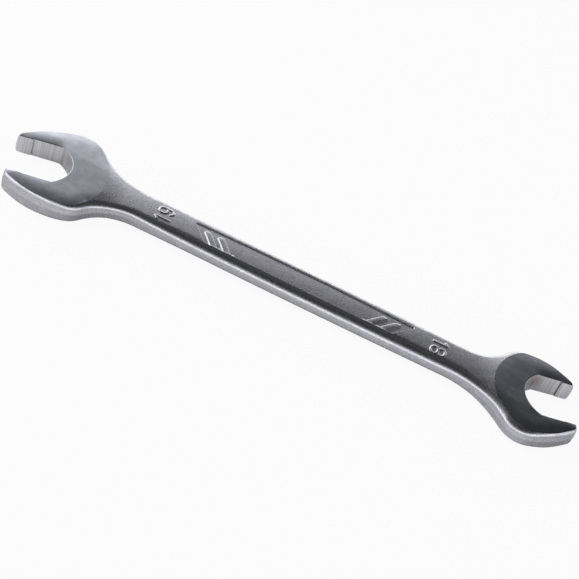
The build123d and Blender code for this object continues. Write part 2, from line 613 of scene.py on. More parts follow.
@dataclass(frozen=True)
class Panel:
    """Sunk panel of the shank's faces, with slanted ribs left standing in each end."""

    middle_x: float
    near_y: float = -4.15
    far_y: float = 4.7
    bow: float = 0.8
    bow_limit: float = 1.5
    surround: float = 1.0
    depth: float = 0.45
    far_length: float = 82.0
    near_length: float = 69.0
    rib_count: int = 2
    rib_width: float = 2.2
    rib_gap: float = 2.7
    rib_top_y: float = 2.25
    rib_overrun: float = 2.0
    rib_drop: float = 0.06
    rib_wall_width: float = 0.45
    corner_radius: float = 0.55
    wall_width: float = 0.4
    step: float = 0.8
    ring_shares: tuple[float, ...] = (0.0, 0.15, 0.4, 0.7, 1.0)

    @property
    def lean(self) -> float:
        """How far each end leans inwards from the far edge to the near one."""
        return (self.far_length - self.near_length) / 2

    def field(self) -> RoundedPatch:
        """The whole panel, before its far edge is bowed.

        Returns:
            The patch.
        """
        near = [complex(self.middle_x + side * self.near_length / 2, self.near_y) for side in (-1, 1)]
        far = [complex(self.middle_x + side * self.far_length / 2, self.far_y) for side in (1, -1)]
        return RoundedPatch(near + far, self.corner_radius)

    def leaning(self, side: int, across: float, y: float) -> complex:
        """Place at a distance to one side of the panel's middle, moved along as its end leans."""
        share = (y - self.near_y) / (self.far_y - self.near_y)
        return complex(self.middle_x + side * (across + self.lean * share), y)

    def ribs(self) -> list[RoundedPatch]:
        """The tops of the ribs, which run on past the near edge into the face.

        Returns:
            A patch for each rib.
        """
        bottom, top = self.near_y - self.rib_overrun, self.rib_top_y
        patches = []
        for index in range(self.rib_count):
            end = self.near_length / 2 - self.rib_gap - index * (self.rib_width + self.rib_gap)
            start = end - self.rib_width
            for side in (-1, 1):
                corners = [self.leaning(side, start, bottom), self.leaning(side, end, bottom),
                           self.leaning(side, end, top), self.leaning(side, start, top)]
                patches.append(RoundedPatch(corners[::side], self.corner_radius))
        return patches

    def shift(self, points: np.ndarray) -> np.ndarray:
        """How far the bow of the far edge moves points towards the near side.

        Args:
            points: Places in the plan.

        Returns:
            The shifts.
        """
        along = (points.real - self.middle_x) / (self.far_length / 2)
        bowed = self.bow * np.minimum(along ** 2, self.bow_limit)
        return bowed * smooth(self.near_y, self.far_y, points.imag)

    def bend(self, points: np.ndarray) -> np.ndarray:
        """Moves points of the straight panel onto the bowed one."""
        return points - 1j * self.shift(points)

    def flatten(self, points: np.ndarray) -> np.ndarray:
        """Moves points of the bowed panel back onto the straight one.

        Args:
            points: Places in the bowed panel.

        Returns:
            The same places in the straight one.
        """
        flat = points
        for _ in range(SETTLING_ROUNDS):
            flat = points + 1j * self.shift(flat)
        return flat

    def depths(self, points: np.ndarray) -> np.ndarray:
        """How deep the panel is at plan points.

        Args:
            points: Places in the plan.

        Returns:
            The depths.
        """
        depth = np.zeros(points.shape)
        near = np.abs(points.real - self.middle_x) < self.far_length / 2 + self.surround
        flat = self.flatten(points[near])
        sunk = 1 - smooth(-self.wall_width, 0.0, self.field().distance(flat))
        standing = np.zeros(flat.shape)
        for rib in self.ribs():
            standing = np.maximum(standing, 1 - smooth(0.0, self.rib_wall_width, rib.distance(flat)))
        depth[near] = sunk * (self.depth - (self.depth - self.rib_drop) * standing)
        return depth

    def lines(self) -> list[list[complex]]:
        """Closed lines along the panel's walls and the walls of its ribs.

        Returns:
            The points of each line.
        """
        field_loops = [self.field().loop(-self.wall_width * share, self.step) for share in self.ring_shares]
        rib_loops = [rib.loop(self.rib_wall_width * share, self.step)
                     for rib in self.ribs() for share in self.ring_shares]
        return [list(self.bend(np.array(loop))) for loop in field_loops + rib_loops]

    def clear(self, points: np.ndarray, margin: float) -> np.ndarray:
        """Which points lie further than a margin from all those lines.

        Args:
            points: Places in the plan.
            margin: The margin.

        Returns:
            For each point whether it does.
        """
        flat = self.flatten(points)
        edge = self.field().distance(flat)
        keep = (edge > margin) | (edge < -self.wall_width - margin)
        for rib in self.ribs():
            distance = rib.distance(flat)
            keep &= (distance < -margin) | (distance > self.rib_wall_width + margin)
        return keep


def ring(middle: complex, half_width: float, half_height: float, start: float = 0.0,
         turn: float = 360.0, steps: int = 36) -> np.ndarray:
    """Elliptical stroke of a glyph, in shares of the glyph's height.

    Args:
        middle: Its middle.
        half_width: Half its width.
        half_height: Half its height.
        start: The angle where it starts, in degrees from the right.
        turn: The angle that it turns through.
        steps: How many points it has.

    Returns:
        Its points.
    """
    angles = np.radians(start + turn * np.linspace(0, 1, steps))
    return middle + half_width * np.cos(angles) + 1j * half_height * np.sin(angles)


GLYPH_SHARES = {
    "1": [np.array([-0.5j, 0.5j]), np.array([0.5j, -0.22 + 0.3j])],
    "8": [ring(middle=0.25j, half_width=0.335, half_height=0.25),
          ring(middle=-0.25j, half_width=0.35, half_height=0.25)],
    "9": [ring(middle=0.21j, half_width=0.30, half_height=0.29),
          ring(middle=0.03j, half_width=0.30, half_height=0.53, start=20.0, turn=-152.0)],
}


@dataclass(frozen=True)
class Numeral:
    """Size number raised on the shank, as a round line that is read along one direction."""

    text: str
    centre: complex
    up: complex
    height: float = 5.0
    spacing: float = 4.0
    stroke: float = 1.05
    rise: float = 0.25
    wall_width: float = 0.42
    step: float = 0.22
    closing_share: float = 0.25
    cap_bends: int = 6
    ring_shares: tuple[float, ...] = (0.0, 0.2, 0.5, 0.8, 1.0)

    def strokes(self, face: Face) -> list[np.ndarray]:
        """Centre lines of its strokes on one face.

        Args:
            face: The face.

        Returns:
            The points of each line.
        """
        right = self.up * -1j * face.value
        lines = []
        for index, letter in enumerate(self.text):
            across = (index - (len(self.text) - 1) / 2) * self.spacing
            lines += [self.centre + right * across + (share.real * right + share.imag * self.up) * self.height
                      for share in GLYPH_SHARES[letter]]
        return lines

    def close(self, points: np.ndarray, reach: float) -> np.ndarray:
        """Which points lie near the number."""
        return np.abs(points - self.centre) < self.height + self.stroke + reach

    def distance(self, points: np.ndarray, face: Face) -> np.ndarray:
        """Distance of points from its strokes."""
        return np.min([line_distance(points, line) for line in self.strokes(face)], axis=0)

    def lines(self, face: Face) -> list[list[complex]]:
        """Closed lines along the walls of its strokes.

        Args:
            face: The face that it stands on.

        Returns:
            The points of each line.
        """
        found = []
        for line in self.strokes(face):
            for share in self.ring_shares:
                offset = self.stroke / 2 - self.wall_width * share
                if abs(line[0] - line[-1]) < offset * self.closing_share:
                    ways = np.roll(line[:-1], -1) - np.roll(line[:-1], 1)
                    across = ways / np.abs(ways) * -1j
                    found += [list(line[:-1] + across * side * offset) for side in (-1, 1)]
                    continue
                found.append(self.capsule(line, offset))
        return found

    def capsule(self, line: np.ndarray, offset: float) -> list[complex]:
        """Closed line round an open stroke.

        Args:
            line: The stroke's centre line.
            offset: Its distance from the closed line.

        Returns:
            The closed line's points.
        """
        ways = np.diff(line)
        lengths = np.abs(ways)
        count = max(2, math.ceil(lengths.sum() / self.step))
        travel = np.concatenate([[0], np.cumsum(lengths)])
        places = np.linspace(0, travel[-1], count + 1)
        centre = np.interp(places, travel, line.real) + 1j * np.interp(places, travel, line.imag)
        along = np.gradient(centre)
        side = along / np.abs(along) * -1j * offset
        turns = [math.pi * k / self.cap_bends for k in range(1, self.cap_bends)]
        caps = [[end + spoke * cmath.exp(1j * turn) for turn in turns]
                for end, spoke in ((centre[-1], side[-1]), (centre[0], -side[0]))]
        return [*(centre + side), *caps[0], *(centre - side)[::-1], *caps[1]]

    def clear(self, points: np.ndarray, face: Face, margin: float) -> np.ndarray:
        """Which points lie further than a margin from the walls of its strokes.

        Args:
            points: Places in the plan.
            face: The face that it stands on.
            margin: The margin.

        Returns:
            For each point whether it does.
        """
        keep = np.ones(len(points), bool)
        close = self.close(points, margin)
        if close.any():
            distance = self.distance(points[close], face) - self.stroke / 2
            keep[close] = (distance > margin) | (distance < -self.wall_width - margin)
        return keep

    def heights(self, points: np.ndarray, face: Face) -> np.ndarray:
        """How far the number stands up at plan points.

        Args:
            points: Places in the plan.
            face: The face that it stands on.

        Returns:
            The heights.
        """
        rise = np.zeros(points.shape)
        close = self.close(points, 0.0)
        half = self.stroke / 2
        if close.any():
            distance = self.distance(points[close], face)
            rise[close] = self.rise * (1 - smooth(half - self.wall_width, half, distance))
        return rise


@dataclass
class Forging:
    """The heights of the forging: rounded edges, slopes, ground and rolled heads, panel and numbers."""

    head_thickness: float
    shank: Shank = field(default_factory=Shank)
    heads: tuple[Head, Head] = (LARGE_HEAD, SMALL_HEAD)
    numerals: tuple[Numeral, ...] = (
        Numeral(text="19", centre=-47.3 - 0.4j, up=-1 + 0j),
        Numeral(text="18", centre=53.6 - 0.2j, up=1 + 0j),
    )
    grinding_stock: float = 0.9
    slope_length: float = 20.0
    draft: float = 3.0
    flash_height: float = 0.25
    flash_proud: float = 0.015
    flash_slope: float = 0.1
    skin: float = 0.01
    head_far_radius: float = 1.2
    head_near_radius: float = 1.8
    side_blend: tuple[float, float] = (-8.0, 8.0)
    shank_far_radius: float = 1.8
    shank_near_radius: float = 3.0
    tip_edge_radius: float = 2.4
    large_blend: tuple[float, float] = (-72.0, -30.0)
    small_blend: tuple[float, float] = (56.0, 78.0)
    tip_blend: tuple[float, float] = (3.0, 9.0)
    ring_limit: float = 78.0
    limit_blend: tuple[float, float] = (54.0, 66.0)
    edge_rings: int = 10
    shank_crown: float = 110.0
    roll_fade: float = 8.0
    lip_radius: float = 0.15

    def __post_init__(self) -> None:
        """Works out the outline, the panel and the heights of the faces."""
        self.ground_top = self.head_thickness / 2
        self.stock_top = self.ground_top + self.grinding_stock
        self.shank_top = self.shank.thickness / 2
        self.panel = Panel(self.shank.middle_x)
        self.outline = self.make_outline()

    def make_outline(self) -> Outline:
        """The closed outline of both heads and the shank.

        Returns:
            The outline.
        """
        large, small = self.heads
        large_near, large_far = large.side_arcs(1, self.shank), large.side_arcs(-1, self.shank)
        small_far, small_near = small.side_arcs(1, self.shank), small.side_arcs(-1, self.shank)
        return Outline((
            *[arc.reverse() for arc in reversed(large_near)],
            Arc(self.shank.side_centre(-1), large_near[0].start, small_near[0].start),
            *small_near,
            Straight(small_near[-1].end, small_far[-1].end),
            *[arc.reverse() for arc in reversed(small_far)],
            Arc(self.shank.side_centre(1), small_far[0].start, large_far[0].start),
            *large_far,
            Straight(large_far[-1].end, large_near[-1].end),
        ))

    def belongs(self, head: Head, points: np.ndarray) -> np.ndarray:
        """Which points lie on a head's side of the shank's middle."""
        return (points.real - self.shank.middle_x) * (head.x - self.shank.middle_x) > 0

    def slope_top(self, points: np.ndarray) -> np.ndarray:
        """Height of the forging's face before its heads are ground.

        Args:
            points: Places in the plan.

        Returns:
            The heights.
        """
        drop = self.stock_top - self.shank_top
        share_to_ground = 1 - math.sqrt((self.ground_top - self.shank_top) / (2 * drop))
        top = np.full(points.shape, self.shank_top)
        for head in self.heads:
            start = head.ground_radius - self.slope_length * share_to_ground
            share = np.clip((np.abs(points - head.dish_centre) - start) / self.slope_length, 0, 1)
            height = np.where(share < 0.5, self.stock_top - 2 * drop * share ** 2,
                              self.shank_top + 2 * drop * (1 - share) ** 2)
            top = np.where(self.belongs(head, points), height, top)
        return top

    def edge_radius(self, points: np.ndarray) -> np.ndarray:
        """Radius of the rounded edge beside plan points.

        Args:
            points: Places in the plan.

        Returns:
            The radii.
        """
        on_shank = np.where(points.imag > 0, self.shank_far_radius, self.shank_near_radius)
        on_head = self.head_near_radius + (self.head_far_radius - self.head_near_radius) * smooth(
            *self.side_blend, points.imag)
        radius = on_head + (on_shank - on_head) * smooth(*self.large_blend, points.real)
        radius += (on_head - on_shank) * smooth(*self.small_blend, points.real)
        for head in self.heads:
            short_of_tip = head.tip_reach - head.local(points).real
            radius += (self.tip_edge_radius - radius) * (1 - smooth(*self.tip_blend, short_of_tip))
        return radius

    def edge_inset(self, radius: np.ndarray, top: np.ndarray) -> np.ndarray:
        """How far inside the outline the centre of the rounded edge lies."""
        draft = math.radians(self.draft)
        return self.skin + self.flash_proud + (radius + (top - radius) * math.sin(draft)) / math.cos(draft)

    def crown(self, points: np.ndarray) -> np.ndarray:
        """How far grinding and polishing have taken the faces below level.

        Args:
            points: Places in the plan.

        Returns:
            The drops.
        """
        total = points.imag ** 2 / (2 * self.shank_crown)
        for head in self.heads:
            past_ground = np.abs(points - head.dish_centre) - head.ground_radius
            near = self.belongs(head, points) & (past_ground < self.roll_fade)
            here = points[near]
            drop = head.outer_drop(here, self.outline.distance(here))
            drop += head.inner_drop(here)
            drop += head.facet.drop(here)
            on_shank = smooth(0.0, self.roll_fade, past_ground[near])
            total[near] = total[near] * on_shank + drop * (1 - on_shank)
        return total

    def lip(self, points: np.ndarray) -> np.ndarray:
        """How far the rounded lips of the openings lie below the faces.

        Args:
            points: Places in the plan.

        Returns:
            The drops.
        """
        into = np.zeros(points.shape)
        for head in self.heads:
            distance = head.opening.distance(head.local(points))
            here = np.clip(self.lip_radius - distance, 0, self.lip_radius)
            into = np.where(self.belongs(head, points), here, into)
        return self.lip_radius - np.sqrt(self.lip_radius ** 2 - into ** 2)

    def face_height(self, points: np.ndarray, face: Face) -> np.ndarray:
        """Height of a broad face, inside its rounded edges.

        Args:
            points: Places in the plan.
            face: Which face.

        Returns:
            The heights.
        """
        top, radius = self.slope_top(points), self.edge_radius(points)
        into = np.clip(self.edge_inset(radius, top) - self.outline.distance(points), 0, radius)
        height = np.minimum(top - radius + np.sqrt(radius ** 2 - into ** 2), self.ground_top)
        return height - self.crown(points) - self.lip(points) + self.relief(points, face)

    def relief(self, points: np.ndarray, face: Face) -> np.ndarray:
        """Height of the numbers less the depth of the panel."""
        rise = sum(numeral.heights(points, face) for numeral in self.numerals)
        return rise - self.panel.depths(points)

    def rings(self, points: np.ndarray, inward: np.ndarray) -> tuple[np.ndarray, np.ndarray]:
        """Insets and heights of the rings from the parting plane up to the face.

        Args:
            points: Points of the outline.
            inward: Its inward directions.

        Returns:
            Two arrays with a row for each ring and a column for each point.
        """
        radius, draft = self.edge_radius(points), math.radians(self.draft)
        blend = smooth(*self.limit_blend, np.abs(points.real - self.shank.middle_x))
        limit = np.radians(self.ring_limit + (RIGHT_ANGLE - self.ring_limit) * blend)
        last = limit
        for _ in range(SETTLING_ROUNDS):
            inset = self.edge_inset(radius, self.ground_top) - radius * np.cos(last)
            top = self.slope_top(points + inward * inset)
            rise = np.clip((self.ground_top - top + radius) / radius, 0, 1)
            last = np.minimum(np.arcsin(rise), limit)
        foot = self.flash_proud + (self.flash_height + self.flash_slope) * math.tan(draft)
        flash = ((self.skin, 0.0), (self.skin, self.flash_height),
                 (self.skin + foot, self.flash_height + self.flash_slope))
        insets, heights = ([np.full(len(points), value) for value in values] for values in zip(*flash))
        for k in range(self.edge_rings + 1):
            angle = draft + (last - draft) * k / self.edge_rings
            inset = self.edge_inset(radius, top) - radius * np.cos(angle)
            above = self.slope_top(points + inward * inset)
            insets.append(inset)
            heights.append(above - radius * (1 - np.sin(angle)))
        insets, heights = np.array(insets), np.array(heights)
        crown = self.crown((points[None, :] + inward[None, :] * insets).ravel()).reshape(insets.shape)
        return insets, heights - crown * smooth(0.0, 1.0, heights / heights[-1])


@dataclass
class WrenchMesh:
    """Mesh of the forging, with its rings, its two faces and its openings."""

    forging: Forging
    cell: float = 3.2
    face_cell: float = 0.8
    crease_cell: float = 0.4
    numeral_cell: float = 0.4
    margin: float = 0.16
    lip_offsets: tuple[float, ...] = (-0.03, 0.012, 0.045, 0.09, 0.15, 0.4, 0.8, 1.35, 2.0)
    line_step: float = 0.5
    cut_overrun: float = 1.5
    sharp_angle: float = 24.0
    search_rounds: int = 40
    # How far the fine cells reach beside a crease, as a multiple of its softness.
    crease_reach: float = 3.0
    size_tolerance: float = 1.01
    weld_distance: float = 1e-5
    # The way of filling in which only the triangles inside the rim are kept.
    fill_mode: int = 1
    arc_columns: list[int] = field(default_factory=list)

    def rim_of(self, points: np.ndarray, inward: np.ndarray) -> np.ndarray:
        """The inner end of the rounded edge beside points of the outline."""
        return points + inward * self.forging.rings(points, inward)[0][-1]

    def columns(self) -> np.ndarray:
        """Places of the mesh's columns, with one on each end of the ground faces' arcs.

        Returns:
            Their distances along the outline.
        """
        outline, heads = self.forging.outline, self.forging.heads

        def past_ground(at: np.ndarray) -> np.ndarray:
            """How far the rim lies beyond the nearer head's ground face."""
            rim = self.rim_of(*outline.at(at))
            return np.min([np.abs(rim - head.dish_centre) - head.ground_radius for head in heads], axis=0)

        places = outline.places()
        values = past_ground(places)
        for index in np.nonzero(np.sign(values[:-1]) != np.sign(values[1:]))[0]:
            low, high = places[index], places[index + 1]
            for _ in range(self.search_rounds):
                middle = (low + high) / 2
                if np.sign(past_ground(np.array([middle]))[0]) == np.sign(values[index]):
                    low = middle
                else:
                    high = middle
            closer = index if low - places[index] < places[index + 1] - low else index + 1
            places[closer] = low
            self.arc_columns.append(int(closer))
        return places

    def ground_arcs(self, rim: np.ndarray) -> list[tuple[int, int, list[complex]]]:
        """The arcs that bound the heads' ground faces inside the rim.

        Args:
            rim: The inner ring's points.

        Returns:
            For each arc the two columns that it joins and the points between them.
        """
        arcs = []
        for head in self.forging.heads:
            spokes = {i: rim[i] - head.dish_centre for i in self.arc_columns}
            ends = sorted((i for i in spokes if abs(abs(spokes[i]) - head.ground_radius) < self.margin),
                          key=lambda i: cmath.phase(spokes[i]))
            for start, end in zip(ends, ends[1:] + ends[:1]):
                unit = spokes[start] / abs(spokes[start]) * head.ground_radius
                turn = cmath.phase(spokes[end] / spokes[start]) % math.tau
                middle = head.dish_centre + unit * cmath.exp(1j * turn / 2)
                if self.within(np.array([middle]), rim)[0]:
                    count = math.ceil(turn * head.ground_radius / self.line_step)
                    arcs.append((start, end, [head.dish_centre + unit * cmath.exp(1j * turn * k / count)
                                              for k in range(1, count)]))
        return arcs

    def spread_points(self, face: Face, rim: np.ndarray) -> np.ndarray:
        """Points spread over a face, closer together where it bends.

        Args:
            face: The face; not used.
            rim: Points of its rim.

        Returns:
            The points.
        """
        size = self.cell
        x, y = np.meshgrid(np.arange(rim.real.min(), rim.real.max(), size),
                           np.arange(rim.imag.min(), rim.imag.max(), size))
        cells, found = (x + 1j * y).ravel(), []
        while len(cells):
            middle = cells + size * (1 + 1j) / 2
            wanted = np.full(len(cells), self.face_cell)
            for head in self.forging.heads:
                beyond = ((middle - head.facet.start) / head.facet.way).imag
                crease = np.abs(beyond) < size + head.facet.softness * self.crease_reach
                wanted[crease & self.forging.belongs(head, middle)] = self.crease_cell
            for numeral in self.forging.numerals:
                wanted[numeral.close(middle, size)] = self.numeral_cell
            split = size > wanted * self.size_tolerance
            found.append(cells[~split])
            size /= 2
            cells = np.concatenate([cells[split] + shift * size for shift in (0, 1, 1j, 1 + 1j)])
        return np.concatenate(found)

    def within(self, points: np.ndarray, rim: np.ndarray) -> np.ndarray:
        """Which points lie inside the rim and clear of it.

        Args:
            points: Places in the plan.
            rim: The inner ring's points.

        Returns:
            For each point whether it does.
        """
        closed = np.append(rim, rim[0])
        inside = np.zeros(len(points), bool)
        near = np.full(len(points), np.inf)
        for start, end in zip(closed[:-1], closed[1:]):
            if start.imag != end.imag:
                crosses = (start.imag > points.imag) != (end.imag > points.imag)
                share = (points.imag - start.imag) / (end.imag - start.imag)
                inside ^= crosses & (points.real < start.real + (end.real - start.real) * share)
            box = np.abs(points - start) < self.cell
            if box.any() and start != end:
                near[box] = np.minimum(near[box], line_distance(points[box], np.array([start, end])))
        return inside & (near > self.margin)

    def clear(self, points: np.ndarray, face: Face) -> np.ndarray:
        """Which points lie clear of the lines on a face.

        Args:
            points: Places in the plan.
            face: The face.

        Returns:
            For each point whether it does.
        """
        keep = self.forging.panel.clear(points, self.margin)
        for numeral in self.forging.numerals:
            keep &= numeral.clear(points, face, self.margin)
        for head in self.forging.heads:
            keep &= np.abs(np.abs(points - head.dish_centre) - head.ground_radius) > self.margin
            lip = head.opening.distance(head.local(points))
            within = (lip <= self.lip_offsets[-1] + self.margin) & (lip >= self.lip_offsets[0] - self.margin)
            keep &= ~(self.forging.belongs(head, points) & within)
        return keep

    def face_sheet(self, rim: np.ndarray, face: Face) -> tuple[np.ndarray, list[list[int]], list[int]]:
        """Triangles that fill a face inside its rim.

        Args:
            rim: The inner ring's points.
            face: Which face.

        Returns:
            The plan points, triangles of their indices, and the index of each point in the rim
            or -1.
        """
        plan = [complex(p) for p in rim]
        edges: list[tuple[int, int]] = []

        def add_line(points: list[complex], before: list[int], after: list[int]) -> None:
            """Adds a line that starts and ends at given points.

            Args:
                points: The line's points.
                before: The index of a point before them, if there is one.
                after: The index of a point after them, if there is one.
            """
            first = len(plan)
            plan.extend(points)
            chain = [*before, *range(first, first + len(points)), *after]
            edges.extend(zip(chain[:-1], chain[1:]))

        numeral_loops = [loop for numeral in self.forging.numerals for loop in numeral.lines(face)]
        for loop in self.forging.panel.lines() + numeral_loops:
            add_line(loop, [], [len(plan)])
        for head in self.forging.heads:
            for offset in self.lip_offsets:
                line = head.place(np.array(head.opening.line(offset, head.tip_reach, self.line_step)))
                add_line(list(line[self.within(line, rim)]), [], [])
        for start, end, inner in self.ground_arcs(rim):
            add_line(inner, [start], [end])
        spread = self.spread_points(face, rim)
        plan += [complex(p) for p in spread[self.clear(spread, face) & self.within(spread, rim)]]
        places, _, triangles, sources, *_ = delaunay_2d_cdt(
            [Vector((p.real, p.imag)) for p in plan], edges, [list(range(len(rim)))],
            self.fill_mode, self.weld_distance)
        rim_index = [next((i for i in source if i < len(rim)), -1) for source in sources]
        return np.array([complex(*place) for place in places]), [list(t) for t in triangles], rim_index

    def build(self) -> bpy.types.Object:
        """Makes the object of the forging before its openings are cut.

        Returns:
            The object, in metres.
        """
        forging = self.forging
        points, inward = forging.outline.at(self.columns())
        insets, heights = forging.rings(points, inward)
        plan = points[None, :] + inward[None, :] * insets
        vertices: list[tuple[float, float, float]] = []
        faces: list[list[int]] = []
        finishes: list[int] = []

        def add_vertices(places: np.ndarray, above: np.ndarray, face: Face) -> np.ndarray:
            """Adds vertices of one face and returns their indices.

            Args:
                places: Places in the plan.
                above: Their heights.
                face: The face.

            Returns:
                The indices.
            """
            first = len(vertices)
            vertices.extend((p.real * MM, p.imag * MM, (forging.ground_top + face.value * h) * MM)
                            for p, h in zip(places, above))
            return np.arange(first, len(vertices))

        base = add_vertices(plan[0], heights[0], Face.UPPER)
        for face in Face:
            above = heights.copy()
            above[-1] = heights[-1] + forging.relief(plan[-1], face)
            ring_index = [base] + [add_vertices(p, h, face) for p, h in zip(plan[1:], above[1:])]
            for low, high in zip(ring_index[:-1], ring_index[1:]):
                quads = np.stack([low, np.roll(low, -1), np.roll(high, -1), high], axis=1)
                faces += (quads if face is Face.UPPER else quads[:, ::-1]).tolist()
            finishes += [Finish.FORGED.value] * (len(faces) - len(finishes))
            sheet, triangles, rim_index = self.face_sheet(plan[-1], face)
            inner = np.array(rim_index) < 0
            index = np.where(inner, 0, ring_index[-1][np.array(rim_index)])
            index[inner] = add_vertices(sheet[inner], forging.face_height(sheet[inner], face), face)
            for corners in triangles:
                a, b, c = sheet[corners]
                left = ((b - a).conjugate() * (c - a)).imag > 0
                placed = index[corners].tolist()
                faces.append(placed if left == (face is Face.UPPER) else placed[::-1])
                middle = (a + b + c) / 3
                ground = any(abs(middle - head.dish_centre) < head.ground_radius for head in forging.heads)
                finishes.append((Finish.GROUND if ground else Finish.FORGED).value)
        return self.make_object("forged_wrench", vertices, faces, finishes)

    def make_object(self, name: str, vertices: list[tuple[float, float, float]], faces: list[list[int]],
                    finishes: list[int]) -> bpy.types.Object:
        """Makes a mesh object whose faces have finishes.

        Args:
            name: Its name.
            vertices: Its vertices, in metres.
            faces: The corners of its faces.
            finishes: The finish of each face.

        Returns:
            The object.
        """
        mesh = bpy.data.meshes.new(name)
        mesh.from_pydata(vertices, [], faces)
        mesh.polygons.foreach_set("material_index", finishes)
        made = bpy.data.objects.new(name, mesh)
        bpy.context.scene.collection.objects.link(made)
        return made

    def cutter(self, head: Head) -> bpy.types.Object:
        """Prism that cuts one opening right through.

        Args:
            head: The head that the opening is in.

        Returns:
            The prism.
        """
        loop = [head.place(point) for point in head.opening.profile(head.mouth)]
        count, top = len(loop), self.forging.ground_top
        levels = (-self.cut_overrun, 2 * top + self.cut_overrun)
        vertices = [(p.real * MM, p.imag * MM, level * MM) for level in levels for p in loop]
        walls = [[k, (k + 1) % count, count + (k + 1) % count, count + k] for k in range(count)]
        faces = [list(range(count))[::-1], list(range(count, 2 * count)), *walls]
        return self.make_object("cutter", vertices, faces, [Finish.BROACHED.value] * len(faces))

    def cut_openings(self, piece: bpy.types.Object) -> None:
        """Cuts both openings out of the forging.

        Args:
            piece: The forging's object, with its materials.
        """
        for head in self.forging.heads:
            tool = self.cutter(head)
            for material in piece.data.materials:
                tool.data.materials.append(material)
            modifier = piece.modifiers.new("opening", "BOOLEAN")
            modifier.operation = "DIFFERENCE"
            modifier.solver = "EXACT"
            modifier.object = tool
            bpy.context.view_layer.update()
            evaluated = piece.evaluated_get(bpy.context.evaluated_depsgraph_get())
            cut = bpy.data.meshes.new_from_object(evaluated)
            piece.modifiers.clear()
            whole = piece.data
            piece.data = cut
            for spare in (whole, tool.data):
                bpy.data.meshes.remove(spare)

    def shade(self, piece: bpy.types.Object) -> None:
        """Shades the piece smooth, apart from its crisp edges.

        Args:
            piece: The forging's object.
        """
        work = bmesh.new()
        work.from_mesh(piece.data)
        for surface in work.faces:
            surface.smooth = True
        sharp = math.radians(self.sharp_angle)
        for edge in work.edges:
            finishes = {surface.material_index for surface in edge.link_faces}
            edge.smooth = len(finishes) == 1 and edge.calc_face_angle(math.pi) < sharp
        work.to_mesh(piece.data)
        work.free()
        piece.data.name = piece.name


class Nodes:
    """Short ways to add nodes to a tree and to join them."""

    def __init__(self, tree: bpy.types.NodeTree) -> None:
        """Keeps the tree."""
        self.tree = tree

    def put(self, socket: bpy.types.NodeSocket, value: object) -> None:
        """Links a socket to an input, or sets the input's plain value.

        Args:
            socket: The input.
            value: The socket or the plain value.
        """
        if isinstance(value, bpy.types.NodeSocket):
            self.tree.links.new(value, socket)
        else:
            socket.default_value = value

    def add(self, kind: str, **values: object) -> bpy.types.Node:
        """Adds a node.

        Args:
            kind: Its type.
            **values: Its inputs by name, with spaces as underscores, as sockets or plain values.

        Returns:
            The node.
        """
        node = self.tree.nodes.new(kind)
        for name, value in values.items():
            self.put(node.inputs[name.replace("_", " ")], value)
        return node

    def work_out(self, kind: str, operation: str, values: tuple[object, ...]) -> bpy.types.Node:
        """Adds a node that works something out.

        Args:
            kind: Its type.
            operation: What it does.
            values: Its inputs in order, as sockets or plain values.

        Returns:
            The node.
        """
        node = self.tree.nodes.new(kind)
        node.operation = operation
        for socket, value in zip(node.inputs, values):
            self.put(socket, value)
        return node

    def number(self, operation: str, *values: object) -> bpy.types.NodeSocket:
        """Result of an operation on numbers."""
        return self.work_out("ShaderNodeMath", operation, values).outputs[0]

    def vector(self, operation: str, *values: object) -> bpy.types.bpy_prop_collection:
        """Results of an operation on vectors, by name."""
        return self.work_out("ShaderNodeVectorMath", operation, values).outputs

    def spread(self, value: bpy.types.NodeSocket, start: tuple[float, float],
               end: tuple[float, float] = (0.0, 1.0)) -> bpy.types.NodeSocket:
        """Maps one range of values onto another, clamped."""
        return self.add("ShaderNodeMapRange", Value=value, From_Min=start[0], From_Max=start[1],
                        To_Min=end[0], To_Max=end[1]).outputs[0]


@dataclass(frozen=True)
class Noise:
    """Noise in a finish: its grains' size in millimetres, its finer layers and its turn in degrees."""

    size: tuple[float, ...]
    detail: float
    roughness: float = 0.5
    turn: float = 0.0


